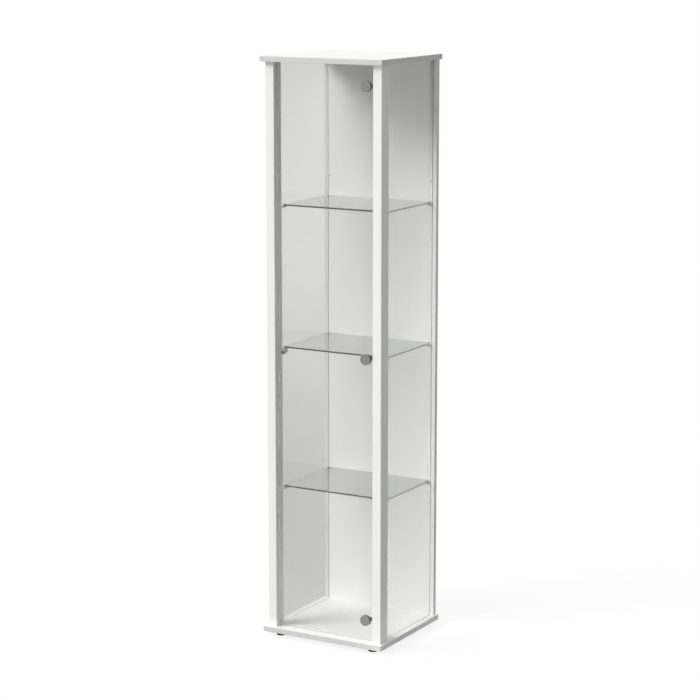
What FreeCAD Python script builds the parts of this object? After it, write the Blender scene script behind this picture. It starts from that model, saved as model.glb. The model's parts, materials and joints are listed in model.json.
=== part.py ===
import FreeCAD, Part
import math
import os

# Display cabinet with a glass door. All lengths are in millimetres.
# X runs to the right, Y to the back and Z up. The origin is on the floor, under the middle.

# Overall size
WIDTH = 420.0
DEPTH = 380.0
HEIGHT = 1810.0

# Top and bottom panels with their edge bands
BOARD = 16.0
BAND = 1.0
BAND_ROUND = 0.6

# Feet
FOOT_HEIGHT = 13.0
FOOT_DIAMETER = 32.0
FOOT_TAPER = 1.5
FOOT_ROUND = 1.2
FOOT_FROM_SIDE = 45.0
FOOT_FROM_END = 33.5
FOOT_SCREW_RECESS = 5.0
FOOT_RECESS_CLEARANCE = 1.0

# Front posts
POST_WIDTH = 30.0
POST_DEPTH = 45.0
POST_FROM_SIDE = 9.0
POST_FROM_FRONT = 16.0
POST_ROUND = 2.0

# Side glass in its grooves
SIDE_GLASS = 4.0
POST_GROOVE = 8.0
PANEL_GROOVE = 6.0
GLASS_CLEARANCE = 0.25
GLASS_BEVEL = 0.4

# Back panel
BACK = 15.0
BACK_ROUND = 1.0

# Shelves, their pegs and pads
SHELF = 5.0
SHELF_COUNT = 3
SHELF_SIDE_GAP = 2.0
SHELF_FRONT_GAP = 24.0
SHELF_REAR_GAP = 2.0
SHELF_CORNER = 3.0
PEG_DIAMETER = 5.0
PEG_HOLD = 9.0
PEG_TAB_WIDTH = 10.0
PEG_TAB = 4.0
PEG_TAB_ROUND = 3.0
PEG_REACH = 11.0
PAD = 1.0
PAD_SIDE = 8.0
SPARE_HOLE_STEP = 70.0

# Door glass
DOOR_GLASS = 4.0
DOOR_FROM_POST_FRONT = 13.5
DOOR_SIDE_GAP = 2.0
DOOR_END_GAP = 3.0
DOOR_CORNER = 1.5

# Knob with its screw and washers
KNOB_FROM_EDGE = 28.0
KNOB_DIAMETER = 17.0
KNOB_LENGTH = 21.0
KNOB_BASE_DIAMETER = 11.0
KNOB_NECK_DIAMETER = 8.4
KNOB_NECK_SHARE = 0.26
KNOB_SHOULDER_SHARE = 0.50
KNOB_RIM_SHARE = 0.74
KNOB_SCREW_DIAMETER = 4.0
KNOB_SCREW_HOLD = 9.0
KNOB_SCREW_HEAD_DIAMETER = 7.6
KNOB_SCREW_HEAD = 2.4
KNOB_SCREW_HEAD_ROUND = 0.8
KNOB_HOLE_DIAMETER = 5.0
WASHER = 0.6

# Hinges
HINGE_FROM_EDGE = 28.0
HINGE_FROM_END = 65.0
CUP_HOLE_DIAMETER = 30.0
CUP_CLEARANCE = 0.3
CUP_FLANGE_DIAMETER = 33.0
CUP_FLANGE = 2.5
CUP_REACH = 6.0
CUP_SLOT_LEFT = 11.0
GASKET = 0.5
GASKET_LIP = 0.4
CAP_DIAMETER = 34.0
CAP = 5.0
CAP_ROUND = 1.4
CAP_STUD_DIAMETER = 3.0
CAP_STUD = 4.5
CAP_STUD_SPREAD = 11.0
PIVOT_FROM_CUP = 9.5
PIVOT_FROM_GLASS_REAR = 0.5
PIN_DIAMETER = 3.0
PIN_HOLD = 2.5
PIN_CLEARANCE = 0.05
ARM_STRIP = 2.4
ARM_HEIGHT = 12.0
ARM_SIDE_CLEARANCE = 0.5
ARM_EYE_DIAMETER = 5.8
ARM_NECK = 14.0
ARM_NECK_ANGLE = 140.0
ARM_BEND = 4.0
ARM_SWING_CLEARANCE = 1.0
ARM_FOOT_LENGTH = 13.0
ARM_FOOT_HEIGHT = 34.0
ARM_SCREW_SPREAD = 22.0

# Countersunk wood screws
SCREW_HEAD_DIAMETER = 6.4
SCREW_HEAD = 1.9
SCREW_DIAMETER = 3.4
SCREW_CROSS_WIDTH = 0.8
SCREW_CROSS_LENGTH = 3.6
SCREW_CROSS_DEPTH = 1.0
ARM_SCREW_LENGTH = 15.0
FOOT_SCREW_LENGTH = 20.0

# Hidden joinery: dowels, cam bolts, cam locks and connecting screws
DOWEL_DIAMETER = 6.0
DOWEL_LENGTH = 30.0
DOWEL_IN_PANEL = 10.0
DOWEL_FROM_POST_FRONT = 9.0
CAM_DIAMETER = 10.0
CAM_LENGTH = 9.0
CAM_DROP = 24.0
CAM_CROSS_WIDTH = 1.2
CAM_CROSS_LENGTH = 6.0
CAM_CROSS_DEPTH = 1.5
BOLT_DIAMETER = 5.0
BOLT_HEAD_DIAMETER = 5.8
BOLT_HEAD = 3.0
BOLT_IN_PANEL = 10.0
BOLT_CLEARANCE = 0.3
CONNECTOR_DIAMETER = 5.0
CONNECTOR_LENGTH = 55.0
CONNECTOR_HEAD_DIAMETER = 9.0
CONNECTOR_HEAD = 3.5
CONNECTOR_FROM_POST_FRONT = 23.0
CONNECTOR_SOCKET_DIAMETER = 4.0
CONNECTOR_SOCKET_DEPTH = 2.5

# Fits: clearance of a pressed piece, spare depth of a blind hole, overrun of every cut
FIT = 0.03
HOLE_END = 0.4
OVERRUN = 5.0
SAME_PLACE = 0.001

# Places worked out from the sizes above
FLOOR_Z = FOOT_HEIGHT + BOARD
CEILING_Z = HEIGHT - BOARD
CLEAR_HEIGHT = CEILING_Z - FLOOR_Z
HALF_WIDTH = WIDTH / 2
FRONT_Y = -DEPTH / 2
REAR_Y = DEPTH / 2

OUTER_X = HALF_WIDTH - POST_FROM_SIDE
INNER_X = OUTER_X - POST_WIDTH
POST_MID_X = (INNER_X + OUTER_X) / 2
INNER_FLANK_X = (INNER_X + POST_MID_X - SIDE_GLASS / 2) / 2
OUTER_FLANK_X = (OUTER_X + POST_MID_X + SIDE_GLASS / 2) / 2
POST_FRONT_Y = FRONT_Y + POST_FROM_FRONT
POST_REAR_Y = POST_FRONT_Y + POST_DEPTH
BACK_FRONT_Y = REAR_Y - BACK
BACK_MID_Y = (BACK_FRONT_Y + REAR_Y) / 2

SHELF_PITCH = (CLEAR_HEIGHT - SHELF_COUNT * SHELF) / (SHELF_COUNT + 1)
SHELF_BOTTOMS = [FLOOR_Z + (level + 1) * SHELF_PITCH + level * SHELF for level in range(SHELF_COUNT)]
SHELF_FRONT_Y = POST_REAR_Y + SHELF_FRONT_GAP
SHELF_REAR_Y = BACK_FRONT_Y - SHELF_REAR_GAP
SHELF_HALF_WIDTH = POST_MID_X - SIDE_GLASS / 2 - SHELF_SIDE_GAP
PEG_LEVELS = [bottom - PAD - PEG_TAB / 2 for bottom in SHELF_BOTTOMS]
SPARE_LEVELS = [PEG_LEVELS[0] - SPARE_HOLE_STEP, PEG_LEVELS[-1] + SPARE_HOLE_STEP]

DOOR_EDGE_X = INNER_X - DOOR_SIDE_GAP
DOOR_FRONT_Y = POST_FRONT_Y + DOOR_FROM_POST_FRONT
DOOR_REAR_Y = DOOR_FRONT_Y + DOOR_GLASS
DOOR_BOTTOM_Z = FLOOR_Z + DOOR_END_GAP
DOOR_TOP_Z = CEILING_Z - DOOR_END_GAP
MIDDLE_Z = (FLOOR_Z + CEILING_Z) / 2
KNOB_X = -DOOR_EDGE_X + KNOB_FROM_EDGE

CUP_X = DOOR_EDGE_X - HINGE_FROM_EDGE
CAP_REAR_Y = DOOR_FRONT_Y - GASKET
FLANGE_FRONT_Y = DOOR_REAR_Y + GASKET
CUP_REAR_Y = DOOR_REAR_Y + CUP_REACH
CUP_SLOT = ARM_HEIGHT + 2 * ARM_SIDE_CLEARANCE
PIN_LENGTH = CUP_SLOT + 2 * PIN_HOLD
PIVOT_X = CUP_X + PIVOT_FROM_CUP
PIVOT_Y = DOOR_REAR_Y - PIVOT_FROM_GLASS_REAR
HINGE_LEVELS = {
    "upper": CEILING_Z - HINGE_FROM_END,
    "middle": MIDDLE_Z,
    "lower": FLOOR_Z + HINGE_FROM_END,
}
DOOR_SWING_RADIUS = math.hypot(DOOR_EDGE_X - PIVOT_X, DOOR_FRONT_Y - PIVOT_Y)
ARM_Y = PIVOT_Y + DOOR_SWING_RADIUS + ARM_SWING_CLEARANCE + ARM_STRIP / 2
ARM_FOOT_REAR_Y = ARM_Y + ARM_STRIP / 2
ARM_FOOT_MID_Y = ARM_FOOT_REAR_Y - ARM_FOOT_LENGTH / 2

RIGHT = FreeCAD.Vector(1, 0, 0)
BACKWARD = FreeCAD.Vector(0, 1, 0)
UP = FreeCAD.Vector(0, 0, 1)
ORIGIN = FreeCAD.Vector(0, 0, 0)


def box(x_range, y_range, z_range):
    """A box between two places on each axis."""
    corner = FreeCAD.Vector(x_range[0], y_range[0], z_range[0])
    return Part.makeBox(x_range[1] - x_range[0], y_range[1] - y_range[0], z_range[1] - z_range[0], corner)


def rod(diameter, length, start, direction, clearance=0.0):
    """A cylinder from a starting point along a direction, widened by a radial clearance."""
    return Part.makeCylinder(diameter / 2 + clearance, length, FreeCAD.Vector(*start), direction)


def fuse(shapes):
    """One solid from shapes that meet."""
    return shapes[0].multiFuse(shapes[1:]).removeSplitter()


def cut(shape, tools):
    """The shape with every tool taken out of it."""
    return shape.cut(Part.makeCompound(tools))


def mirror(shape):
    """The same shape on the other side of the cabinet."""
    return shape.mirror(ORIGIN, RIGHT)


def both_sides(shapes):
    """A list of shapes, followed by their mirror images."""
    return shapes + [mirror(shape) for shape in shapes]


def along(shape, start, direction):
    """A shape made on the Z axis, moved so that its axis starts at a point and follows a direction."""
    moved = shape.copy()
    moved.Placement = FreeCAD.Placement(FreeCAD.Vector(*start), FreeCAD.Rotation(UP, direction))
    return moved


def edges_where(shape, run, **places):
    """Edges that run along one axis and lie at the given places on other axes."""
    found = []
    for edge in shape.Edges:
        ends = [vertex.Point for vertex in edge.Vertexes]
        if len(ends) != 2:
            continue
        moves = {axis: abs(getattr(ends[0], axis) - getattr(ends[1], axis)) for axis in "xyz"}
        straight = all(moves[axis] < SAME_PLACE for axis in "xyz" if axis != run)
        placed = all(abs(getattr(ends[0], axis) - place) < SAME_PLACE for axis, place in places.items())
        if straight and placed:
            found.append(edge)
    return found


def cross(width, length, depth):
    """A driver's cross, sunk along +Z from the origin."""
    first = box((-length / 2, length / 2), (-width / 2, width / 2), (-OVERRUN, depth))
    second = box((-width / 2, width / 2), (-length / 2, length / 2), (-OVERRUN, depth))
    return fuse([first, second])


def countersunk(length, clearance=0.0):
    """A countersunk screw's body on the Z axis, its head's face at the origin, pointing up."""
    head = Part.makeCone(SCREW_HEAD_DIAMETER / 2 + clearance, SCREW_DIAMETER / 2 + clearance, SCREW_HEAD)
    shank = rod(SCREW_DIAMETER, length, ORIGIN, UP, clearance)
    return fuse([head, shank])


def wood_screw(length, start, direction):
    """A countersunk wood screw with a cross in its head."""
    screw = countersunk(length).cut(cross(SCREW_CROSS_WIDTH, SCREW_CROSS_LENGTH, SCREW_CROSS_DEPTH))
    return along(screw, start, direction)


def wood_screw_hole(length, start, direction):
    """The hole that a countersunk wood screw fits, open above its head."""
    mouth = rod(SCREW_HEAD_DIAMETER, OVERRUN, (0, 0, -OVERRUN), UP, FIT)
    return along(fuse([countersunk(length + HOLE_END, FIT), mouth]), start, direction)


# Places of the joinery on the right-hand side
DOWEL_PLACES = [
    (POST_MID_X, POST_FRONT_Y + DOWEL_FROM_POST_FRONT),
    (INNER_FLANK_X, BACK_MID_Y),
]
CONNECTOR_PLACES = [
    (POST_MID_X, POST_FRONT_Y + CONNECTOR_FROM_POST_FRONT),
    (OUTER_FLANK_X, BACK_MID_Y),
]
CAM_FACES = [
    (INNER_FLANK_X, POST_REAR_Y),
    (OUTER_FLANK_X, REAR_Y),
]
BOLT_PLACES = [(x, face_y - CAM_LENGTH / 2) for x, face_y in CAM_FACES]
FOOT_PLACES = {
    "front": (HALF_WIDTH - FOOT_FROM_SIDE, FRONT_Y + FOOT_FROM_END),
    "rear": (HALF_WIDTH - FOOT_FROM_SIDE, REAR_Y - FOOT_FROM_END),
}
ARM_SCREW_PLACES = [
    (INNER_X - ARM_STRIP, ARM_FOOT_MID_Y, level + side * ARM_SCREW_SPREAD / 2)
    for level in HINGE_LEVELS.values()
    for side in (-1, 1)
]


def dowel_holes():
    """Right-hand holes for the dowels at both ends of the post and the back panel."""
    length = DOWEL_LENGTH + 2 * HOLE_END
    lowest = (FLOOR_Z - DOWEL_IN_PANEL - HOLE_END, CEILING_Z + DOWEL_IN_PANEL + HOLE_END - length)
    return [rod(DOWEL_DIAMETER, length, (x, y, z), UP, FIT) for x, y in DOWEL_PLACES for z in lowest]


def dowels():
    """One dowel at each end of each post and of each half of the back panel."""
    lowest = (FLOOR_Z - DOWEL_IN_PANEL, CEILING_Z + DOWEL_IN_PANEL - DOWEL_LENGTH)
    starts = [(x, y, z) for x, y in DOWEL_PLACES for z in lowest]
    return both_sides([rod(DOWEL_DIAMETER, DOWEL_LENGTH, start, UP) for start in starts])


def bolt_holes():
    """Right-hand holes for the cam bolts: tight in the top panel, free below it."""
    holes = []
    for x, y in BOLT_PLACES:
        holes.append(rod(BOLT_DIAMETER, BOLT_IN_PANEL + HOLE_END, (x, y, CEILING_Z), UP, FIT))
        holes.append(rod(BOLT_HEAD_DIAMETER, CAM_DROP, (x, y, CEILING_Z - CAM_DROP), UP, BOLT_CLEARANCE))
    return holes


def cam_holes():
    """Right-hand holes for the cam locks in the rear faces of the post and the back panel."""
    length = CAM_LENGTH + HOLE_END + OVERRUN
    level = CEILING_Z - CAM_DROP
    return [rod(CAM_DIAMETER, length, (x, y + OVERRUN, level), -BACKWARD, FIT) for x, y in CAM_FACES]


def cam_bolts():
    """Headed bolts that hang from the top panel into the cam locks."""
    bolts = []
    for x, y in BOLT_PLACES:
        shank = rod(BOLT_DIAMETER, BOLT_IN_PANEL + CAM_DROP, (x, y, CEILING_Z - CAM_DROP), UP)
        head = rod(BOLT_HEAD_DIAMETER, BOLT_HEAD, (x, y, CEILING_Z - CAM_DROP), UP)
        bolts.append(fuse([shank, head]))
    return both_sides(bolts)


def cam_locks():
    """Round cams with a driver's cross, each hollowed over its bolt's head."""
    locks = []
    for x, y in CAM_FACES:
        level = CEILING_Z - CAM_DROP
        drum = rod(CAM_DIAMETER, CAM_LENGTH, (x, y, level), -BACKWARD)
        hollow = rod(BOLT_HEAD_DIAMETER, CAM_DIAMETER, (x, y - CAM_LENGTH / 2, level), UP, BOLT_CLEARANCE)
        slot = along(cross(CAM_CROSS_WIDTH, CAM_CROSS_LENGTH, CAM_CROSS_DEPTH), (x, y, level), -BACKWARD)
        locks.append(cut(drum, [hollow, slot]))
    return both_sides(locks)


def connector(length, clearance=0.0):
    """A connecting screw's body on the Z axis, its head's face at the origin, pointing up."""
    head = rod(CONNECTOR_HEAD_DIAMETER, CONNECTOR_HEAD, ORIGIN, UP, clearance)
    shank = rod(CONNECTOR_DIAMETER, length, ORIGIN, UP, clearance)
    return fuse([head, shank])


def connector_holes():
    """Stepped holes that the connecting screws fit, open at the bottom panel's underside."""
    hole = connector(CONNECTOR_LENGTH + HOLE_END, FIT)
    return [along(hole, (x, y, FOOT_HEIGHT), UP) for x, y in CONNECTOR_PLACES]


def connecting_screws():
    """Long screws from below through the bottom panel into the posts and the back, with a round socket."""
    socket = rod(CONNECTOR_SOCKET_DIAMETER, CONNECTOR_SOCKET_DEPTH, ORIGIN, UP)
    screw = connector(CONNECTOR_LENGTH).cut(socket)
    return both_sides([along(screw, (x, y, FOOT_HEIGHT), UP) for x, y in CONNECTOR_PLACES])


def groove():
    """The right-hand side glass's space in the post and panels."""
    half = SIDE_GLASS / 2 + GLASS_CLEARANCE
    y_range = (POST_REAR_Y - POST_GROOVE, BACK_FRONT_Y + POST_GROOVE)
    z_range = (FLOOR_Z - PANEL_GROOVE, CEILING_Z + PANEL_GROOVE)
    return box((POST_MID_X - half, POST_MID_X + half), y_range, z_range)


def side_glass():
    """The right-hand pane, with bevelled edges, standing in its groove."""
    y_range = (
        POST_REAR_Y - POST_GROOVE + GLASS_CLEARANCE,
        BACK_FRONT_Y + POST_GROOVE - GLASS_CLEARANCE,
    )
    z_range = (FLOOR_Z - PANEL_GROOVE, CEILING_Z + PANEL_GROOVE - HOLE_END)
    pane = box((POST_MID_X - SIDE_GLASS / 2, POST_MID_X + SIDE_GLASS / 2), y_range, z_range)
    return pane.makeChamfer(GLASS_BEVEL, pane.Edges)


def panel_core(z_range):
    """A panel's board without its edge bands."""
    x_range = (-HALF_WIDTH + BAND, HALF_WIDTH - BAND)
    return box(x_range, (FRONT_Y + BAND, REAR_Y), z_range)


def edge_bands(z_range):
    """A panel's front band across its whole width, and a band on each side behind it."""
    front = box((-HALF_WIDTH, HALF_WIDTH), (FRONT_Y, FRONT_Y + BAND), z_range)
    front = front.makeFillet(BAND_ROUND, edges_where(front, "x", y=FRONT_Y))
    side = box((HALF_WIDTH - BAND, HALF_WIDTH), (FRONT_Y + BAND, REAR_Y), z_range)
    side = side.makeFillet(BAND_ROUND, edges_where(side, "y", x=HALF_WIDTH))
    return [front, side, mirror(side)]


def bottom_panel():
    """The bottom board with its grooves and holes."""
    tools = both_sides([groove()] + dowel_holes() + connector_holes() + foot_screw_holes())
    return cut(panel_core((FOOT_HEIGHT, FLOOR_Z)), tools)


def top_panel():
    """The top board with its grooves and holes."""
    tools = both_sides([groove()] + dowel_holes() + bolt_holes())
    return cut(panel_core((CEILING_Z, HEIGHT)), tools)


def peg_holes(face_y, inward):
    """Right-hand holes for the pegs of every shelf and the spare rows, sunk into an upright face."""
    starts = [(INNER_FLANK_X, face_y, level) for level in PEG_LEVELS + SPARE_LEVELS]
    return [rod(PEG_DIAMETER, PEG_HOLD + HOLE_END, start, inward, FIT) for start in starts]


def joinery_holes():
    """Every groove and joining hole in a right-hand post and the back panel's right-hand half."""
    return [groove()] + dowel_holes() + bolt_holes() + cam_holes() + connector_holes()


def front_post():
    """The right-hand front post with rounded upright edges, before the hinges' screw holes."""
    stock = box((INNER_X, OUTER_X), (POST_FRONT_Y, POST_REAR_Y), (FLOOR_Z, CEILING_Z))
    stock = stock.makeFillet(POST_ROUND, edges_where(stock, "z"))
    return cut(stock, joinery_holes() + peg_holes(POST_REAR_Y, -BACKWARD))


def back_panel():
    """The board behind the cabinet, between the top and bottom panels."""
    stock = box((-OUTER_X, OUTER_X), (BACK_FRONT_Y, REAR_Y), (FLOOR_Z, CEILING_Z))
    stock = stock.makeFillet(BACK_ROUND, edges_where(stock, "z"))
    return cut(stock, both_sides(joinery_holes() + peg_holes(BACK_FRONT_Y, BACKWARD)))


def arm_screw_holes():
    """The holes of the screws that hold the hinge arms on the right-hand front post."""
    return [wood_screw_hole(ARM_SCREW_LENGTH, start, RIGHT) for start in ARM_SCREW_PLACES]


def foot_screw_holes():
    """Pilot holes for the right-hand feet's screws."""
    starts = [(x, y, FOOT_SCREW_RECESS) for x, y in FOOT_PLACES.values()]
    return [wood_screw_hole(FOOT_SCREW_LENGTH, start, UP) for start in starts]


def foot(x, y):
    """A low tapered foot with a recess for its screw."""
    top_radius = FOOT_DIAMETER / 2
    body = Part.makeCone(top_radius - FOOT_TAPER, top_radius, FOOT_HEIGHT)
    rim = [edge for edge in body.Edges if edge.BoundBox.ZMax < SAME_PLACE and edge.Closed]
    body = body.makeFillet(FOOT_ROUND, rim)
    recess = rod(SCREW_HEAD_DIAMETER, FOOT_SCREW_RECESS, ORIGIN, UP, FOOT_RECESS_CLEARANCE)
    hole = wood_screw_hole(FOOT_SCREW_LENGTH, (0, 0, FOOT_SCREW_RECESS), UP)
    body = cut(body, [recess, hole])
    body.translate(FreeCAD.Vector(x, y, 0))
    return body


def foot_screws():
    """One screw up through each foot into the bottom panel."""
    starts = [(x, y, FOOT_SCREW_RECESS) for x, y in FOOT_PLACES.values()]
    return both_sides([wood_screw(FOOT_SCREW_LENGTH, start, UP) for start in starts])


def shelf(bottom):
    """A clear shelf with rounded corners and bevelled edges."""
    pane = box((-SHELF_HALF_WIDTH, SHELF_HALF_WIDTH), (SHELF_FRONT_Y, SHELF_REAR_Y), (bottom, bottom + SHELF))
    pane = pane.makeFillet(SHELF_CORNER, edges_where(pane, "z"))
    flat = [face for face in pane.Faces if face.BoundBox.ZLength < SAME_PLACE]
    return pane.makeChamfer(GLASS_BEVEL, [edge for face in flat for edge in face.Edges])


def peg(face_y, inward, tab_end_y, level):
    """A right-hand shelf peg: a pin in an upright face, and a flat tab that reaches under the shelf."""
    pin = rod(PEG_DIAMETER, PEG_HOLD, (INNER_FLANK_X, face_y, level), inward)
    x_range = (INNER_FLANK_X - PEG_TAB_WIDTH / 2, INNER_FLANK_X + PEG_TAB_WIDTH / 2)
    tab = box(x_range, sorted((face_y, tab_end_y)), (level - PEG_TAB / 2, level + PEG_TAB / 2))
    tab = tab.makeFillet(PEG_TAB_ROUND, edges_where(tab, "z", y=tab_end_y))
    return fuse([pin, tab])


def front_pegs():
    """Pegs that reach back from the front posts, two under each shelf."""
    end_y = SHELF_FRONT_Y + PEG_REACH
    return both_sides([peg(POST_REAR_Y, -BACKWARD, end_y, level) for level in PEG_LEVELS])


def rear_pegs():
    """Pegs that reach forward from the back panel, two under each shelf."""
    end_y = SHELF_REAR_Y - PEG_REACH
    return both_sides([peg(BACK_FRONT_Y, BACKWARD, end_y, level) for level in PEG_LEVELS])


def shelf_pads():
    """A soft clear pad on each peg's tab, under the shelf."""
    margin = (PEG_REACH - PAD_SIDE) / 2
    x_range = (INNER_FLANK_X - PAD_SIDE / 2, INNER_FLANK_X + PAD_SIDE / 2)
    front = (SHELF_FRONT_Y + margin, SHELF_FRONT_Y + margin + PAD_SIDE)
    rear = (SHELF_REAR_Y - margin - PAD_SIDE, SHELF_REAR_Y - margin)
    pads = [box(x_range, y_range, (low - PAD, low)) for low in SHELF_BOTTOMS for y_range in (front, rear)]
    return both_sides(pads)


def door_glass():
    """The door's pane with rounded corners, bevelled edges, hinge holes and a knob hole."""
    x_range = (-DOOR_EDGE_X, DOOR_EDGE_X)
    pane = box(x_range, (DOOR_FRONT_Y, DOOR_REAR_Y), (DOOR_BOTTOM_Z, DOOR_TOP_Z))
    pane = pane.makeFillet(DOOR_CORNER, edges_where(pane, "y"))
    flat = [face for face in pane.Faces if face.BoundBox.YLength < SAME_PLACE]
    pane = pane.makeChamfer(GLASS_BEVEL, [edge for face in flat for edge in face.Edges])
    through = DOOR_GLASS + 2 * OVERRUN
    start_y = DOOR_FRONT_Y - OVERRUN
    holes = [rod(CUP_HOLE_DIAMETER, through, (CUP_X, start_y, z), BACKWARD) for z in HINGE_LEVELS.values()]
    holes.append(rod(KNOB_HOLE_DIAMETER, through, (KNOB_X, start_y, MIDDLE_Z), BACKWARD))
    return cut(pane, holes)


def knob():
    """A round turned knob with a narrow neck, its tapped hole towards the glass."""
    base = KNOB_BASE_DIAMETER / 2
    neck = KNOB_NECK_DIAMETER / 2
    rim = KNOB_DIAMETER / 2

    def at(radius, length_share):
        return FreeCAD.Vector(radius, 0, KNOB_LENGTH * length_share)

    foot_edge = at(base, 0)
    shoulder = at(base, KNOB_SHOULDER_SHARE)
    rim_edge = at(rim, KNOB_RIM_SHARE)
    tip = at(0, 1)
    dome_height = KNOB_LENGTH * (1 - KNOB_RIM_SHARE)
    dome_radius = (rim ** 2 + dome_height ** 2) / (2 * dome_height)
    half_angle = math.asin(rim / dome_radius) / 2
    dome_drop = dome_radius * (1 - math.cos(half_angle))
    dome = FreeCAD.Vector(dome_radius * math.sin(half_angle), 0, KNOB_LENGTH - dome_drop)
    outline = [
        Part.LineSegment(ORIGIN, foot_edge).toShape(),
        Part.Arc(foot_edge, at(neck, KNOB_NECK_SHARE), shoulder).toShape(),
        Part.LineSegment(shoulder, rim_edge).toShape(),
        Part.Arc(rim_edge, dome, tip).toShape(),
        Part.LineSegment(tip, ORIGIN).toShape(),
    ]
    body = Part.Face(Part.Wire(outline)).revolve(ORIGIN, UP, 360)
    hole = rod(KNOB_SCREW_DIAMETER, KNOB_SCREW_HOLD + HOLE_END, ORIGIN, UP, FIT)
    return along(body.cut(hole), (KNOB_X, DOOR_FRONT_Y - WASHER, MIDDLE_Z), -BACKWARD)


def knob_screw():
    """The screw from behind the glass into the knob, with a domed head."""
    grip = DOOR_GLASS + 2 * WASHER
    head = rod(KNOB_SCREW_HEAD_DIAMETER, KNOB_SCREW_HEAD, ORIGIN, -UP)
    outer = [edge for edge in head.Edges if edge.Closed and edge.BoundBox.ZMax < -SAME_PLACE]
    head = head.makeFillet(KNOB_SCREW_HEAD_ROUND, outer)
    shank = rod(KNOB_SCREW_DIAMETER, grip + KNOB_SCREW_HOLD, ORIGIN, UP)
    slot = cross(SCREW_CROSS_WIDTH, SCREW_CROSS_LENGTH, SCREW_CROSS_DEPTH - KNOB_SCREW_HEAD)
    screw = fuse([head, shank]).cut(slot)
    return along(screw, (KNOB_X, DOOR_REAR_Y + WASHER, MIDDLE_Z), -BACKWARD)


def knob_washers():
    """A clear washer on each side of the glass."""
    washers = []
    for start_y in (DOOR_FRONT_Y - WASHER, DOOR_REAR_Y):
        disc = rod(KNOB_BASE_DIAMETER, WASHER, (KNOB_X, start_y, MIDDLE_Z), BACKWARD)
        hole = rod(KNOB_SCREW_DIAMETER, WASHER, (KNOB_X, start_y, MIDDLE_Z), BACKWARD, FIT)
        washers.append(disc.cut(hole))
    return washers


def hinge_cap(level):
    """A round cover on the front of the glass, with two studs that plug into the cup."""
    disc = rod(CAP_DIAMETER, CAP, (CUP_X, CAP_REAR_Y, level), -BACKWARD)
    front_edge = [edge for edge in disc.Edges if edge.Closed and edge.BoundBox.YMax < CAP_REAR_Y - SAME_PLACE]
    disc = disc.makeFillet(CAP_ROUND, front_edge)
    studs = [rod(CAP_STUD_DIAMETER, CAP_STUD, start, BACKWARD) for start in stud_starts(level)]
    return fuse([disc] + studs)


def stud_starts(level):
    """Where a cap's two studs leave its rear face."""
    return [(CUP_X, CAP_REAR_Y, level + side * CAP_STUD_SPREAD) for side in (-1, 1)]


def hinge_cup(level):
    """A cup through the glass, flanged behind it and slotted for the arm, with holes for pin and studs."""
    body_diameter = CUP_HOLE_DIAMETER - 2 * CUP_CLEARANCE
    body = rod(body_diameter, CUP_REAR_Y - CAP_REAR_Y, (CUP_X, CAP_REAR_Y, level), BACKWARD)
    flange = rod(CUP_FLANGE_DIAMETER, CUP_FLANGE, (CUP_X, FLANGE_FRONT_Y, level), BACKWARD)
    slot = box(
        (CUP_X - CUP_SLOT_LEFT, CUP_X + CUP_FLANGE_DIAMETER),
        (CAP_REAR_Y - OVERRUN, CUP_REAR_Y + OVERRUN),
        (level - CUP_SLOT / 2, level + CUP_SLOT / 2),
    )
    length = PIN_LENGTH + 2 * HOLE_END
    pin_hole = rod(PIN_DIAMETER, length, (PIVOT_X, PIVOT_Y, level - length / 2), UP, FIT)
    studs = [
        rod(CAP_STUD_DIAMETER, CAP_STUD + HOLE_END, start, BACKWARD, FIT) for start in stud_starts(level)
    ]
    return cut(fuse([body, flange]), [slot, pin_hole] + studs)


def hinge_gaskets():
    """A clear ring on each side of the glass round every cup."""
    rings = []
    for level in HINGE_LEVELS.values():
        for start_y in (CAP_REAR_Y, DOOR_REAR_Y):
            start = (CUP_X, start_y, level)
            ring = rod(CUP_FLANGE_DIAMETER, GASKET, start, BACKWARD)
            rings.append(ring.cut(rod(CUP_HOLE_DIAMETER, GASKET, start, BACKWARD, GASKET_LIP)))
    return rings


def hinge_pins():
    """One upright pin in each cup."""
    return [
        rod(PIN_DIAMETER, PIN_LENGTH, (PIVOT_X, PIVOT_Y, level - PIN_LENGTH / 2), UP)
        for level in HINGE_LEVELS.values()
    ]


def strip(points, z_range):
    """A bent flat strip on edge: straight runs between plan points, rounded at the bends."""
    height = z_range[1] - z_range[0]
    pieces = []
    for start, end in zip(points, points[1:]):
        run = Part.makeBox(math.dist(start, end), ARM_STRIP, height, FreeCAD.Vector(0, -ARM_STRIP / 2, 0))
        run.rotate(ORIGIN, UP, math.degrees(math.atan2(end[1] - start[1], end[0] - start[0])))
        run.translate(FreeCAD.Vector(start[0], start[1], z_range[0]))
        pieces.append(run)
    pieces += [rod(ARM_STRIP, height, (x, y, z_range[0]), UP) for x, y in points[1:-1]]
    return fuse(pieces)


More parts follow.
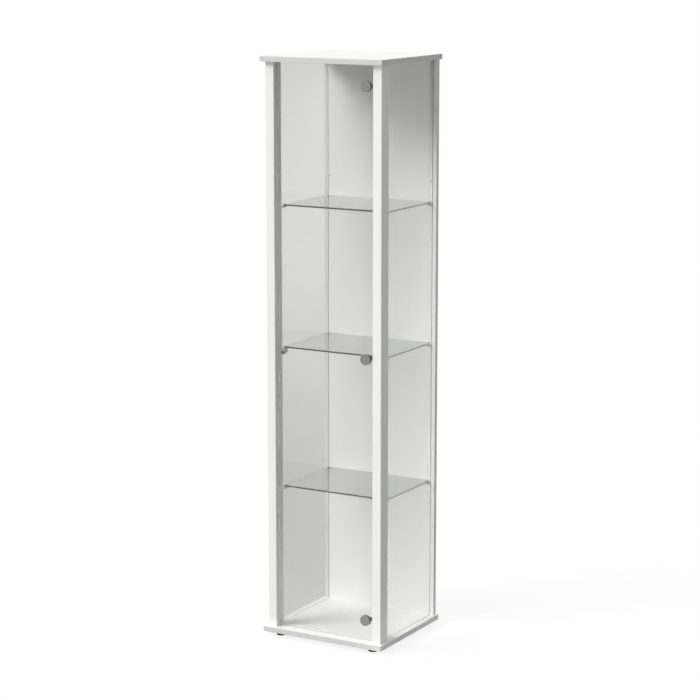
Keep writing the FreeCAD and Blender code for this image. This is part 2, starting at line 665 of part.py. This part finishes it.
def hinge_arm(level):
    """A swan-neck arm from the pin, round behind the door's edge, to a foot on the post."""
    angle = math.radians(ARM_NECK_ANGLE)
    neck_x = PIVOT_X + ARM_NECK * math.cos(angle)
    neck_y = PIVOT_Y + ARM_NECK * math.sin(angle)
    points = [
        (PIVOT_X, PIVOT_Y),
        (neck_x, neck_y),
        (neck_x, ARM_Y - ARM_BEND),
        (neck_x + ARM_BEND, ARM_Y),
        (INNER_X - ARM_STRIP / 2, ARM_Y),
    ]
    z_range = (level - ARM_HEIGHT / 2, level + ARM_HEIGHT / 2)
    eye = rod(ARM_EYE_DIAMETER, ARM_HEIGHT, (PIVOT_X, PIVOT_Y, z_range[0]), UP)
    foot_plate = box(
        (INNER_X - ARM_STRIP, INNER_X),
        (ARM_FOOT_REAR_Y - ARM_FOOT_LENGTH, ARM_FOOT_REAR_Y),
        (level - ARM_FOOT_HEIGHT / 2, level + ARM_FOOT_HEIGHT / 2),
    )
    bore = rod(PIN_DIAMETER, ARM_HEIGHT, (PIVOT_X, PIVOT_Y, z_range[0]), UP, PIN_CLEARANCE)
    return cut(fuse([strip(points, z_range), eye, foot_plate]), [bore] + arm_screw_holes())


def arm_screws():
    """Two screws through each arm's foot into the post."""
    return [wood_screw(ARM_SCREW_LENGTH, start, RIGHT) for start in ARM_SCREW_PLACES]


def build():
    """Every piece of the cabinet by its name."""
    right_front = front_post()
    right_glass = side_glass()
    nodes = {
        "top_panel": top_panel(),
        "bottom_panel": bottom_panel(),
        "top_edge_bands": Part.makeCompound(edge_bands((CEILING_Z, HEIGHT))),
        "bottom_edge_bands": Part.makeCompound(edge_bands((FOOT_HEIGHT, FLOOR_Z))),
        "left_front_post": mirror(right_front),
        "right_front_post": cut(right_front, arm_screw_holes()),
        "left_side_glass": mirror(right_glass),
        "right_side_glass": right_glass,
        "back_panel": back_panel(),
        "front_shelf_pegs": Part.makeCompound(front_pegs()),
        "rear_shelf_pegs": Part.makeCompound(rear_pegs()),
        "shelf_pads": Part.makeCompound(shelf_pads()),
        "foot_screws": Part.makeCompound(foot_screws()),
        "dowels": Part.makeCompound(dowels()),
        "cam_bolts": Part.makeCompound(cam_bolts()),
        "cam_locks": Part.makeCompound(cam_locks()),
        "connecting_screws": Part.makeCompound(connecting_screws()),
        "door_glass": door_glass(),
        "knob": knob(),
        "knob_screw": knob_screw(),
        "knob_washers": Part.makeCompound(knob_washers()),
        "hinge_gaskets": Part.makeCompound(hinge_gaskets()),
        "hinge_pins": Part.makeCompound(hinge_pins()),
        "hinge_arm_screws": Part.makeCompound(arm_screws()),
    }
    for name, bottom in zip(("lower_shelf", "middle_shelf", "upper_shelf"), SHELF_BOTTOMS):
        nodes[name] = shelf(bottom)
    for end, (x, y) in FOOT_PLACES.items():
        nodes[f"right_{end}_foot"] = foot(x, y)
        nodes[f"left_{end}_foot"] = foot(-x, y)
    for name, level in HINGE_LEVELS.items():
        nodes[f"{name}_hinge_cap"] = hinge_cap(level)
        nodes[f"{name}_hinge_cup"] = hinge_cup(level)
        nodes[f"{name}_hinge_arm"] = hinge_arm(level)
    return nodes


os.makedirs("parts", exist_ok=True)
for node_name, node_shape in build().items():
    node_shape.exportStep(f"parts/{node_name}.step")
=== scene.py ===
import json
import math
from collections import namedtuple

import bpy
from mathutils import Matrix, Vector


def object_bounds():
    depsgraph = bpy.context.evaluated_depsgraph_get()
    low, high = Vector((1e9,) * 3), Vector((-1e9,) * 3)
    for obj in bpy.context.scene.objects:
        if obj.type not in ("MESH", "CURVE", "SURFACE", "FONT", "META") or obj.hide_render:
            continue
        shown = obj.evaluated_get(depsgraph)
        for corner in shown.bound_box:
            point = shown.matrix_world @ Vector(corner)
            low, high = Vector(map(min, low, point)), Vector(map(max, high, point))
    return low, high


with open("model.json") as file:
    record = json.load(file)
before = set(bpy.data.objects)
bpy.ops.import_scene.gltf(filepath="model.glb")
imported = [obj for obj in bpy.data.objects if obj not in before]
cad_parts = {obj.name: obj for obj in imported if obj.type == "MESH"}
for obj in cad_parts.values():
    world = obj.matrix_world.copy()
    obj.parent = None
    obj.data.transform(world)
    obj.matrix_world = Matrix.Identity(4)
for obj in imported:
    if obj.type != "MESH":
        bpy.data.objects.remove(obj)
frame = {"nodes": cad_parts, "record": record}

# Looks of a tall display cabinet: white boards and posts, clear glass and small metal fittings.
# Lengths are in metres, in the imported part's frame: X to the right, Y to the back, Z up from the floor.

CAD_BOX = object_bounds()
CAD_RIGHT = CAD_BOX[1][0]
X_AXIS = (1.0, 0.0, 0.0)
Y_AXIS = (0.0, 1.0, 0.0)
Z_AXIS = (0.0, 0.0, 1.0)

# Camera, fitted to the corners of the top and bottom panels
EYE = (3.393, -5.935, 2.193)
AZIMUTH_DEG = 29.80
PITCH_DEG = 10.70
LEVEL_DEG = 90.0
LENS_MM = 115.4
SENSOR_MM = 36.0
CLIP_END = 200.0

# Lamps: a large soft one from the front left, a long strip in front and another behind
LAMP_FROM = (-0.48, -0.56, 0.54)
LAMP_STRENGTH = 2.05
LAMP_ANGLE_DEG = 30.0
STRIP_AIM = (0.0, 0.0, 0.9)
STRIP_SIZE = (4.0, 0.4)
Strip = namedtuple("Strip", "place watts")
STRIP_LAMPS = {
    "fill_lamp": Strip(place=(1.7, -4.8, 1.7), watts=60.0),
    "rear_lamp": Strip(place=(-1.6, 4.8, 1.0), watts=75.0),
}

# Soft light all round: its strength at the horizon and overhead, and what the left half adds
SKY_LOW = 0.02
SKY_HIGH = 0.76
SKY_LEFT = 0.80
LEFT_HALF = (-1.0, 0.0)
WHITE_STRENGTH = 1.0

# The room that glossy surfaces mirror: dim in front, and white past a turn to the back or upwards
MIRRORED_FRONT = 0.45
MIRRORED_BEHIND = 1.00
MIRRORED_TURN = (-0.5, -0.2)
MIRRORED_RISE = (0.4, 0.7)

# Floor: half its width, how far it lies below the feet, and its colour
FLOOR_HALF = 30.0
FLOOR_DROP = 0.0002
FLOOR_SEEN = (0.95, 0.95, 0.95)

# Share of plain white in the floor, which grows from near to far: seen straight, and through glass
FLOOR_NEAR = 0.4
FLOOR_FAR = 2.5
FLOOR_WHITE_SHARE = 0.85
BEHIND_NEAR = 0.5
BEHIND_FAR = 9.0
BEHIND_WHITE_SHARE = 0.60

# The same share in mirrors, which grows from the front to the back
MIRRORED_FADE = 1.0
MIRRORED_FRONT_SHARE = 0.10
MIRRORED_WHITE_SHARE = 0.60

# Light that the floor throws back: little, but more from a strip along the cabinet's right side
FLOOR_BOUNCE = 0.24
FLOOR_BOUNCE_CLOSE = 0.80
BOUNCE_ASIDE = 0.03
BOUNCE_MIDDLE = (CAD_RIGHT + BOUNCE_ASIDE, 0.0, 0.0)
BOUNCE_STRETCH = (1.0, 0.35, 1.0)
BOUNCE_NEAR = 0.05
BOUNCE_FAR = 0.15

# A ray's depth is a whole number, so one below this means no bounce yet
FIRST_BOUNCE = 0.5

# Colours
PURE_WHITE = (1.0, 1.0, 1.0)
WHITE = (0.88, 0.88, 0.85)
WHITE_DULL = (0.872, 0.872, 0.841)
BAND_WHITE = (0.66, 0.66, 0.637)
BAND_DULL = (0.65, 0.65, 0.627)
BACK_WHITE = (0.80, 0.80, 0.77)
BACK_DULL = (0.79, 0.79, 0.76)
UPRIGHT_PANE = (0.87, 0.872, 0.862)
SHELF_PANE = (0.72, 0.732, 0.72)
PANE_EDGE = (0.76, 0.79, 0.735)
PANE_LIGHT = (0.952, 0.954, 0.948)
SATIN = (0.72, 0.72, 0.70)
SATIN_DARK = (0.64, 0.64, 0.62)
CAP_RIM = (0.04, 0.04, 0.04)
CHROME = (0.38, 0.38, 0.39)
CHROME_DARK = (0.32, 0.32, 0.33)
ZINC = (0.62, 0.62, 0.60)
ZINC_DARK = (0.50, 0.50, 0.485)
BLACK = (0.022, 0.022, 0.022)
BLACK_WORN = (0.045, 0.045, 0.044)
CLEAR_PLASTIC = (0.86, 0.88, 0.87)
BEECH = (0.60, 0.43, 0.27)
BEECH_DARK = (0.45, 0.30, 0.17)

# Noise patterns: features to the metre, octaves of detail, and the weight of the finer octaves
Pattern = namedtuple("Pattern", "scale detail weight")
EVEN = 0.5
HARSH = 0.6
MOTTLE = Pattern(9.0, 3.0, EVEN)
SHEEN = Pattern(45.0, 5.0, EVEN)
BOARD_PEEL = Pattern(1100.0, 2.0, EVEN)
BAND_PEEL = Pattern(1600.0, 2.0, EVEN)
POST_PEEL = Pattern(900.0, 2.0, EVEN)
BACK_PEEL = Pattern(700.0, 2.0, EVEN)
PANE_HAZE = Pattern(14.0, 6.0, HARSH)
PAD_CLOUD = Pattern(400.0, 4.0, EVEN)
PAD_GRAIN = Pattern(3000.0, 2.0, EVEN)
TURNING = Pattern(1.0, 3.0, HARSH)
SMUDGE = Pattern(120.0, 4.0, EVEN)
ZINC_BLOOM = Pattern(160.0, 5.0, EVEN)
ZINC_SCRATCH = Pattern(2600.0, 3.0, EVEN)
MOULD_RUBBING = Pattern(220.0, 5.0, EVEN)
MOULD_GRAIN = Pattern(2400.0, 2.0, EVEN)
WOOD_GRAIN = Pattern(900.0, 5.0, HARSH)
SCRATCH_STRETCH = (1.0, 1.0, 0.08)
WOOD_STRETCH = (1.0, 1.0, 0.05)

# Ranges: of a whole share, of noise values, and of how squarely a face lies across an axis
WHOLE = (0.0, 1.0)
MOST_NOISE = (0.3, 0.7)
MIDDLE_NOISE = (0.35, 0.65)
HAZY_NOISE = (0.45, 0.8)
WORN_NOISE = (0.5, 0.8)
FLAT_FACING = (0.85, 0.97)
FRONT_FACING = (0.15, 0.45)

# Roughness, where a pattern is low and where it is high
PANE_ROUGHNESS = (0.0, 0.012)
PAD_ROUGHNESS = (0.18, 0.34)
ZINC_ROUGHNESS = (0.28, 0.42)
MOULD_ROUGHNESS = (0.52, 0.40)
WOOD_ROUGHNESS = (0.55, 0.75)

# Strength of the bumps, and their height
PAD_BUMP = 0.15
TURNED_BUMP = 0.12
ZINC_BUMP = 0.12
MOULD_BUMP = 0.25
WOOD_BUMP = 0.20
BUMP_DEPTH = 0.0001
WOOD_DEPTH = 0.0002

# Values that hold all over a surface
FULL = 1.0
PAINT_IOR = 1.48
PANE_IOR = 1.5
EDGE_COAT_IOR = 4.0
EDGE_COAT_ROUGHNESS = 0.20
PAD_IOR = 1.46
PAD_CLEARNESS = 0.85
MOULD_SPECULAR = 0.25

# A turned piece's rings lie about the middle of its own box, seen from the front
BOX_MIDDLE = (0.5, 0.5, 0.5)
FRONT_PLANE = (1.0, 0.0, 1.0)

# Finishes by material slot, and panes by a word in their node's name
Paint = namedtuple("Paint", "clean dull roughness peel bump")
PAINTS = {
    "panel_board": Paint(WHITE, WHITE_DULL, roughness=(0.34, 0.44), peel=BOARD_PEEL, bump=0.10),
    "edge_band": Paint(BAND_WHITE, BAND_DULL, roughness=(0.36, 0.46), peel=BAND_PEEL, bump=0.08),
    "post_lacquer": Paint(WHITE, WHITE_DULL, roughness=(0.28, 0.38), peel=POST_PEEL, bump=0.10),
    "back_board": Paint(BACK_WHITE, BACK_DULL, roughness=(0.50, 0.62), peel=BACK_PEEL, bump=0.14),
}
Turned = namedtuple("Turned", "bright dark rim roughness rings")
TURNED_METALS = {
    "satin_metal": Turned(SATIN, SATIN_DARK, CAP_RIM, roughness=(0.20, 0.28), rings=90.0),
    "chrome": Turned(CHROME, CHROME_DARK, CHROME, roughness=(0.04, 0.09), rings=40.0),
}
GLASS_SLOT = "clear_glass"
Pane = namedtuple("Pane", "colour thin_axis")
PANES = {
    "side": Pane(UPRIGHT_PANE, X_AXIS),
    "door": Pane(UPRIGHT_PANE, Y_AXIS),
    "shelf": Pane(SHELF_PANE, Z_AXIS),
}


def opaque(colour):
    """A colour with its full alpha."""
    return (*colour, FULL)


class Graph:
    """A material's or world's node tree, with short ways to add nodes and links."""

    def __init__(self, owner):
        owner.use_nodes = True
        self.tree = owner.node_tree
        self.tree.nodes.clear()

    def add(self, kind, inputs=None, **settings):
        """A new node: settings are its own fields, and inputs are values or sockets by name or number."""
        made = self.tree.nodes.new(kind)
        for name, value in settings.items():
            setattr(made, name, value)
        for key, value in (inputs or {}).items():
            if isinstance(value, bpy.types.NodeSocket):
                self.tree.links.new(value, made.inputs[key])
            else:
                made.inputs[key].default_value = value
        return made

    def math(self, operation, first, second=0.0, clamp=False):
        """The result of one sum on two values."""
        made = self.add("ShaderNodeMath", {0: first, 1: second}, operation=operation, use_clamp=clamp)
        return made.outputs[0]

    def vector(self, operation, *operands):
        """The outputs of one sum on vectors, Vector and Value."""
        return self.add("ShaderNodeVectorMath", dict(enumerate(operands)), operation=operation).outputs

    def ramp(self, value, source, target, shape="SMOOTHSTEP"):
        """A value carried from one range to another."""
        inputs = {
            "Value": value,
            "From Min": source[0],
            "From Max": source[1],
            "To Min": target[0],
            "To Max": target[1],
        }
        return self.add("ShaderNodeMapRange", inputs, interpolation_type=shape).outputs["Result"]

    def noise(self, place, pattern):
        """Soft noise in one of the patterns."""
        inputs = {
            "Vector": place,
            "Scale": pattern.scale,
            "Detail": pattern.detail,
            "Roughness": pattern.weight,
        }
        return self.add("ShaderNodeTexNoise", inputs).outputs["Fac"]

    def stretched(self, place, scales):
        """Coordinates times a factor on each axis."""
        return self.add("ShaderNodeMapping", {"Vector": place, "Scale": scales}).outputs["Vector"]

    def facing(self, normal, axis, turn):
        """How squarely a face lies across an axis: 0 before the range of its turn, and 1 past it."""
        along = self.vector("DOT_PRODUCT", normal, axis)["Value"]
        return self.ramp(self.math("ABSOLUTE", along), turn, WHOLE)

    def colours(self, share, first, second):
        """A colour between two colours, each a triple or a socket."""
        made = self.add("ShaderNodeMix", {0: share}, data_type="RGBA")
        ends = [socket for socket in made.inputs if socket.type == "RGBA"]
        for socket, colour in zip(ends, (first, second)):
            if isinstance(colour, bpy.types.NodeSocket):
                self.tree.links.new(colour, socket)
            else:
                socket.default_value = opaque(colour)
        return next(socket for socket in made.outputs if socket.type == "RGBA")

    def between(self, share, first, second):
        """A number between two numbers."""
        return self.add("ShaderNodeMix", {0: share, 2: first, 3: second}).outputs[0]

    def bump(self, height, strength, depth):
        """A normal bent by a height."""
        inputs = {"Height": height, "Strength": strength, "Distance": depth}
        return self.add("ShaderNodeBump", inputs).outputs["Normal"]

    def principled(self, inputs):
        """The shader of a surface, from its inputs."""
        return self.add("ShaderNodeBsdfPrincipled", inputs).outputs[0]

    def mix(self, share, first, second):
        """One shader changed into another."""
        return self.add("ShaderNodeMixShader", {0: share, 1: first, 2: second}).outputs[0]

    def finish(self, shader, kind="ShaderNodeOutputMaterial"):
        """The shader becomes the output."""
        self.add(kind, {"Surface": shader})


def new_material(name):
    """A material with an empty graph and the coordinates that every surface uses."""
    material = bpy.data.materials.new(name)
    graph = Graph(material)
    return material, graph, graph.add("ShaderNodeTexCoord").outputs


def painted(name, paint):
    """White paint or melamine: faint mottling, uneven gloss and a fine orange peel."""
    material, graph, coords = new_material(name)
    place = coords["Object"]
    mottle = graph.ramp(graph.noise(place, MOTTLE), MIDDLE_NOISE, WHOLE)
    surface = graph.principled(
        {
            "Base Color": graph.colours(mottle, paint.clean, paint.dull),
            "Roughness": graph.ramp(graph.noise(place, SHEEN), MOST_NOISE, paint.roughness),
            "Normal": graph.bump(graph.noise(place, paint.peel), paint.bump, BUMP_DEPTH),
            "IOR": PAINT_IOR,
        }
    )
    graph.finish(surface)
    return material


def glass(name, pane):
    """A clear pane with slight haze. Its ground edges have a tint and throw back more light."""
    material, graph, coords = new_material(name)
    flat = graph.facing(coords["Normal"], pane.thin_axis, FLAT_FACING)
    haze = graph.noise(coords["Object"], PANE_HAZE)
    surface = graph.principled(
        {
            "Base Color": graph.colours(flat, PANE_EDGE, pane.colour),
            "Roughness": graph.ramp(haze, HAZY_NOISE, PANE_ROUGHNESS),
            "IOR": PANE_IOR,
            "Transmission Weight": FULL,
            "Coat Weight": graph.math("SUBTRACT", FULL, flat),
            "Coat Roughness": EDGE_COAT_ROUGHNESS,
            "Coat IOR": EDGE_COAT_IOR,
        }
    )
    lit = graph.add("ShaderNodeBsdfTransparent", {"Color": opaque(PANE_LIGHT)})
    path = graph.add("ShaderNodeLightPath").outputs
    graph.finish(graph.mix(path["Is Shadow Ray"], surface, lit.outputs[0]))
    return material


def clear_plastic(name):
    """Soft clear plastic of pads and gaskets: cloudy, with a fine grain."""
    material, graph, coords = new_material(name)
    place = coords["Object"]
    surface = graph.principled(
        {
            "Base Color": opaque(CLEAR_PLASTIC),
            "Roughness": graph.ramp(graph.noise(place, PAD_CLOUD), MOST_NOISE, PAD_ROUGHNESS),
            "Normal": graph.bump(graph.noise(place, PAD_GRAIN), PAD_BUMP, BUMP_DEPTH),
            "IOR": PAD_IOR,
            "Transmission Weight": PAD_CLEARNESS,
        }
    )
    graph.finish(surface)
    return material


def turned_metal(name, metal):
    """Metal with fine turned rings about the middle of its own front, and a rim of another colour."""
    material, graph, coords = new_material(name)
    middle = graph.vector("SUBTRACT", coords["Generated"], BOX_MIDDLE)["Vector"]
    radius = graph.vector("LENGTH", graph.vector("MULTIPLY", middle, FRONT_PLANE)["Vector"])["Value"]
    line = graph.add("ShaderNodeCombineXYZ", {"X": graph.math("MULTIPLY", radius, metal.rings)})
    turning = graph.noise(line.outputs[0], TURNING)
    smudge = graph.ramp(graph.noise(coords["Object"], SMUDGE), MOST_NOISE, WHOLE)
    front = graph.facing(coords["Normal"], Y_AXIS, FRONT_FACING)
    surface = graph.principled(
        {
            "Base Color": graph.colours(front, metal.rim, graph.colours(smudge, metal.bright, metal.dark)),
            "Metallic": FULL,
            "Roughness": graph.ramp(turning, MOST_NOISE, metal.roughness),
            "Normal": graph.bump(turning, TURNED_BUMP, BUMP_DEPTH),
        }
    )
    graph.finish(surface)
    return material


def zinc(name):
    """Bright zinc plate of screws, pegs and arms, with a cloudy bloom and fine scratches."""
    material, graph, coords = new_material(name)
    bloom = graph.ramp(graph.noise(coords["Object"], ZINC_BLOOM), MOST_NOISE, WHOLE)
    scratch = graph.noise(graph.stretched(coords["Object"], SCRATCH_STRETCH), ZINC_SCRATCH)
    surface = graph.principled(
        {
            "Base Color": graph.colours(bloom, ZINC, ZINC_DARK),
            "Metallic": FULL,
            "Roughness": graph.ramp(bloom, WHOLE, ZINC_ROUGHNESS),
            "Normal": graph.bump(scratch, ZINC_BUMP, BUMP_DEPTH),
        }
    )
    graph.finish(surface)
    return material


def black_plastic(name):
    """Black moulded plastic with a fine spark-eroded grain and slightly rubbed places."""
    material, graph, coords = new_material(name)
    place = coords["Object"]
    rubbed = graph.ramp(graph.noise(place, MOULD_RUBBING), WORN_NOISE, WHOLE)
    surface = graph.principled(
        {
            "Base Color": graph.colours(rubbed, BLACK, BLACK_WORN),
            "Roughness": graph.ramp(rubbed, WHOLE, MOULD_ROUGHNESS),
            "Normal": graph.bump(graph.noise(place, MOULD_GRAIN), MOULD_BUMP, BUMP_DEPTH),
            "Specular IOR Level": MOULD_SPECULAR,
        }
    )
    graph.finish(surface)
    return material


def beech(name):
    """Bare beech with its grain along Z."""
    material, graph, coords = new_material(name)
    grain = graph.noise(graph.stretched(coords["Object"], WOOD_STRETCH), WOOD_GRAIN)
    surface = graph.principled(
        {
            "Base Color": graph.colours(graph.ramp(grain, MIDDLE_NOISE, WHOLE), BEECH, BEECH_DARK),
            "Roughness": graph.ramp(grain, MOST_NOISE, WOOD_ROUGHNESS),
            "Normal": graph.bump(grain, WOOD_BUMP, WOOD_DEPTH),
        }
    )
    graph.finish(surface)
    return material


def dress():
    """Every CAD node gets the finish of its slot, and each pane the glass that suits its thin direction."""
    makers = {
        "zinc_steel": zinc,
        "black_plastic": black_plastic,
        "clear_plastic": clear_plastic,
        "dowel_wood": beech,
    }
    finishes = {slot: painted(slot, paint) for slot, paint in PAINTS.items()}
    finishes.update({slot: turned_metal(slot, metal) for slot, metal in TURNED_METALS.items()})
    finishes.update({slot: make(slot) for slot, make in makers.items()})
    panes = {kind: glass(f"{kind}_glass", pane) for kind, pane in PANES.items()}
    for row in frame["record"]["subparts"]:
        name, slot = row["node"], row["material_slot"]
        if slot == GLASS_SLOT:
            finish = next(pane for kind, pane in panes.items() if kind in name)
        else:
            finish = finishes[slot]
        for place in frame["nodes"][name].material_slots:
            place.material = finish


def sight(graph):
    """How a ray sees the studio, each 0 or 1: straight, through glass and mirrored.

    The last two hold only before the ray's first diffuse bounce.
    """
    path = graph.add("ShaderNodeLightPath").outputs
    direct = graph.math("LESS_THAN", path["Diffuse Depth"], FIRST_BOUNCE)
    glossy = graph.math("GREATER_THAN", path["Glossy Depth"], FIRST_BOUNCE)
    mirrored = graph.math("MULTIPLY", glossy, direct)
    through = graph.math("MULTIPLY", path["Is Transmission Ray"], direct)
    return path["Is Camera Ray"], graph.math("SUBTRACT", through, mirrored, clamp=True), mirrored


def make_world():
    """White behind the object, a room for mirrors, and soft light from overhead and from the left."""
    world = bpy.data.worlds.new("studio")
    bpy.context.scene.world = world
    graph = Graph(world)
    straight, through, mirrored = sight(graph)
    direction = graph.add("ShaderNodeTexCoord").outputs["Generated"]
    towards = graph.add("ShaderNodeSeparateXYZ", {0: direction}).outputs
    overhead = graph.ramp(towards["Z"], WHOLE, (SKY_LOW, SKY_HIGH), "LINEAR")
    leftward = graph.ramp(towards["X"], LEFT_HALF, (SKY_LEFT, 0.0), "LINEAR")
    light = graph.math("ADD", overhead, leftward)
    backward = graph.ramp(towards["Y"], MIRRORED_TURN, WHOLE)
    upward = graph.ramp(towards["Z"], MIRRORED_RISE, WHOLE)
    room = graph.between(graph.math("MAXIMUM", backward, upward), MIRRORED_FRONT, MIRRORED_BEHIND)
    seen = graph.math("ADD", straight, through, clamp=True)
    strength = graph.between(seen, graph.between(mirrored, light, room), WHITE_STRENGTH)
    white = graph.add("ShaderNodeBackground", {"Color": opaque(PURE_WHITE), "Strength": strength})
    graph.finish(white.outputs[0], "ShaderNodeOutputWorld")


def floor_light(graph, place):
    """The share of light that the floor throws back, which is greater in the strip beside the cabinet."""
    drawn = graph.stretched(place, BOUNCE_STRETCH)
    aside = graph.vector("DISTANCE", drawn, BOUNCE_MIDDLE)["Value"]
    return graph.ramp(aside, (BOUNCE_NEAR, BOUNCE_FAR), (FLOOR_BOUNCE_CLOSE, FLOOR_BOUNCE))


def make_floor():
    """A pale floor that fades to white, keeps the object's shadow and throws back some light."""
    ends = (-FLOOR_HALF, FLOOR_HALF)
    corners = [(x, y, -FLOOR_DROP) for y in ends for x in ends]
    mesh = bpy.data.meshes.new("floor")
    mesh.from_pydata(corners, [], [(0, 1, 3, 2)])
    floor = bpy.data.objects.new("floor", mesh)
    bpy.context.scene.collection.objects.link(floor)
    material, graph, coords = new_material("floor")
    mesh.materials.append(material)
    straight, through, mirrored = sight(graph)
    place = coords["Object"]
    away = graph.vector("LENGTH", place)["Value"]
    depth = graph.add("ShaderNodeSeparateXYZ", {0: place}).outputs["Y"]
    near_share = graph.ramp(away, (FLOOR_NEAR, FLOOR_FAR), (FLOOR_WHITE_SHARE, FULL))
    behind_share = graph.ramp(away, (BEHIND_NEAR, BEHIND_FAR), (BEHIND_WHITE_SHARE, FULL))
    mirrored_range = (MIRRORED_FRONT_SHARE, MIRRORED_WHITE_SHARE)
    mirrored_share = graph.ramp(depth, (-MIRRORED_FADE, MIRRORED_FADE), mirrored_range)
    white = graph.add("ShaderNodeEmission", {"Color": opaque(PURE_WHITE), "Strength": WHITE_STRENGTH})
    lit = graph.add("ShaderNodeBsdfDiffuse", {"Color": opaque(FLOOR_SEEN)})
    bounce = graph.add("ShaderNodeBsdfDiffuse", {"Color": floor_light(graph, place)})
    near = graph.mix(near_share, lit.outputs[0], white.outputs[0])
    behind = graph.mix(behind_share, bounce.outputs[0], white.outputs[0])
    dim = graph.math("MULTIPLY", mirrored, mirrored_share)
    indirect = graph.mix(dim, bounce.outputs[0], white.outputs[0])
    indirect = graph.mix(through, indirect, behind)
    graph.finish(graph.mix(straight, indirect, near))


def place_lamp(lamp, place, backwards):
    """A lamp in the scene that shines against a direction and shows in no mirror."""
    holder = bpy.data.objects.new(lamp.name, lamp)
    holder.location = place
    holder.rotation_euler = Vector(backwards).to_track_quat("Z", "Y").to_euler()
    holder.visible_glossy = False
    bpy.context.scene.collection.objects.link(holder)
    return holder


def make_lamps():
    """A large soft lamp far off to the front left, a strip in front and a strip behind."""
    lamp = bpy.data.lights.new("soft_lamp", "SUN")
    lamp.energy = LAMP_STRENGTH
    lamp.angle = math.radians(LAMP_ANGLE_DEG)
    place_lamp(lamp, LAMP_FROM, LAMP_FROM)
    for name, strip in STRIP_LAMPS.items():
        lamp = bpy.data.lights.new(name, "AREA")
        lamp.shape = "RECTANGLE"
        lamp.size, lamp.size_y = STRIP_SIZE
        lamp.energy = strip.watts
        holder = place_lamp(lamp, strip.place, Vector(strip.place) - Vector(STRIP_AIM))
        holder.visible_camera = False
        holder.visible_transmission = False


def make_camera():
    """The camera at the photo's viewing angle, without shift."""
    lens = bpy.data.cameras.new("camera")
    lens.lens = LENS_MM
    lens.sensor_width = SENSOR_MM
    lens.clip_end = CLIP_END
    camera = bpy.data.objects.new("camera", lens)
    camera.location = EYE
    camera.rotation_euler = (math.radians(LEVEL_DEG - PITCH_DEG), 0.0, math.radians(AZIMUTH_DEG))
    bpy.context.scene.collection.objects.link(camera)
    bpy.context.scene.camera = camera


dress()
make_world()
make_floor()
make_lamps()
make_camera()
bpy.context.scene.view_settings.view_transform = "Standard"
